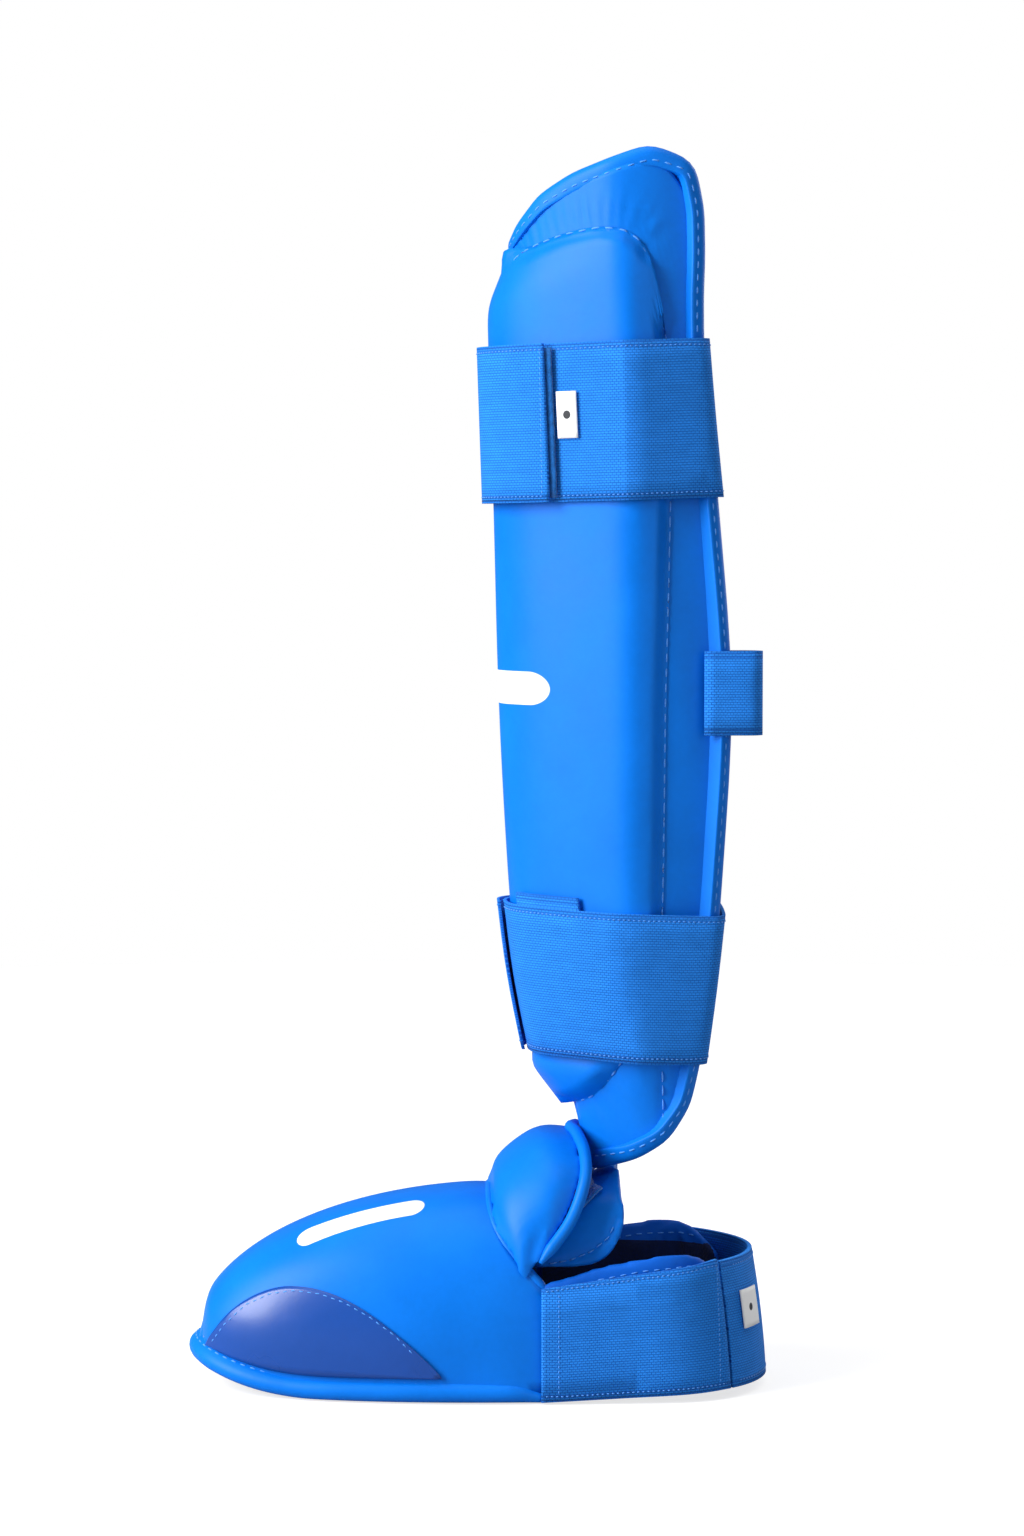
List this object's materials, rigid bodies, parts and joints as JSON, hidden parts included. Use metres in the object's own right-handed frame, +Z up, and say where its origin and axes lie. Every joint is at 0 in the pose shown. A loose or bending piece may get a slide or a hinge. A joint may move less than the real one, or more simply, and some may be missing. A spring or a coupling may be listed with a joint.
{
  "type": "shin guard",
  "caption": "Padded martial-arts shin and instep guard: moulded shin panel with elastic straps, hinged at the ankle to a foot guard with a heel strap and an open sole.",
  "frame": {"origin": "centre of the guard's plan outline, on the floor under the sole", "axes": "+X towards the heel, +Y towards the medial side of the left leg, +Z up the shin"},
  "size_m": [0.1976, 0.09, 0.4177],
  "materials": {
    "pu_cover": "satin",
    "pu_panel": "satin",
    "pu_binding": "satin",
    "pu_dark": "gloss",
    "pu_piping": "satin",
    "lining_cloth": "matte",
    "padding": "matte",
    "foam": "matte",
    "elastic": "matte",
    "loop_pile": "matte",
    "hook_tape": "matte",
    "label": "satin"
  },
  "bodies": {
    "foot": {"foot_upper": "pu_cover", "foot_foam": "foam", "foot_lining": "lining_cloth", "toe_patch_lateral": "pu_dark", "toe_patch_medial": "pu_dark", "foot_edge_binding": "pu_binding", "heel_wing_lateral": "pu_panel", "heel_wing_medial": "pu_panel", "heel_strap_band": "elastic", "heel_loop_patch": "loop_pile", "heel_size_label": "label", "arch_elastic": "elastic", "toe_elastic": "elastic"},
    "flap": {"instep_flap_cover": "pu_cover", "instep_flap_padding": "padding", "instep_flap_piping": "pu_piping"},
    "tongue": {"ankle_tongue_cover": "pu_cover", "ankle_tongue_padding": "padding", "tongue_loop_patch": "loop_pile"},
    "shin": {"shin_pad_cover": "pu_cover", "shin_backing": "pu_panel", "shin_edge_binding": "pu_binding", "shin_lining": "lining_cloth", "shin_pad_foam_core": "foam", "upper_strap_band": "elastic", "lower_strap_band": "elastic", "lower_strap_anchor": "elastic", "upper_loop_patch": "loop_pile", "lower_loop_patch": "loop_pile", "rear_pull_loop": "elastic", "tail_hook_patch": "hook_tape"},
    "upper_tab": {"upper_strap_tab": "elastic", "upper_hook_patch": "hook_tape", "upper_size_label": "label"},
    "lower_tab": {"lower_strap_tab": "elastic", "lower_hook_patch": "hook_tape"},
    "heel_tab": {"heel_strap_tab": "elastic", "heel_hook_patch": "hook_tape"}
  },
  "joints": [
    {"name": "ankle_flex", "type": "hinge", "parent": "foot", "child": "tongue", "pos_m": [0.0377, 0, 0.0476], "axis": [0, 1, 0], "range_deg": [0, 22]},
    {"name": "flap_fold", "type": "hinge", "parent": "foot", "child": "flap", "pos_m": [0.004, 0, 0.066], "axis": [0, -1, 0], "range_deg": [0, 12]},
    {"name": "shin_release", "type": "slide", "parent": "tongue", "child": "shin", "axis": [0, 0, 1], "range_m": [0, 0.08]},
    {"name": "upper_tab_peel", "type": "hinge", "parent": "shin", "child": "upper_tab", "pos_m": [0.0009, 0.0046, 0.327], "axis": [0, 0, -1], "range_deg": [0, 75]},
    {"name": "lower_tab_peel", "type": "hinge", "parent": "shin", "child": "lower_tab", "pos_m": [0.0106, -0.0046, 0.137], "axis": [-0.1569, 0, 0.9876], "range_deg": [0, 75]},
    {"name": "heel_tab_peel", "type": "hinge", "parent": "foot", "child": "heel_tab", "pos_m": [0.0854, -0.0332, 0.025], "axis": [0, 0, 1], "range_deg": [0, 80]}
  ]
}
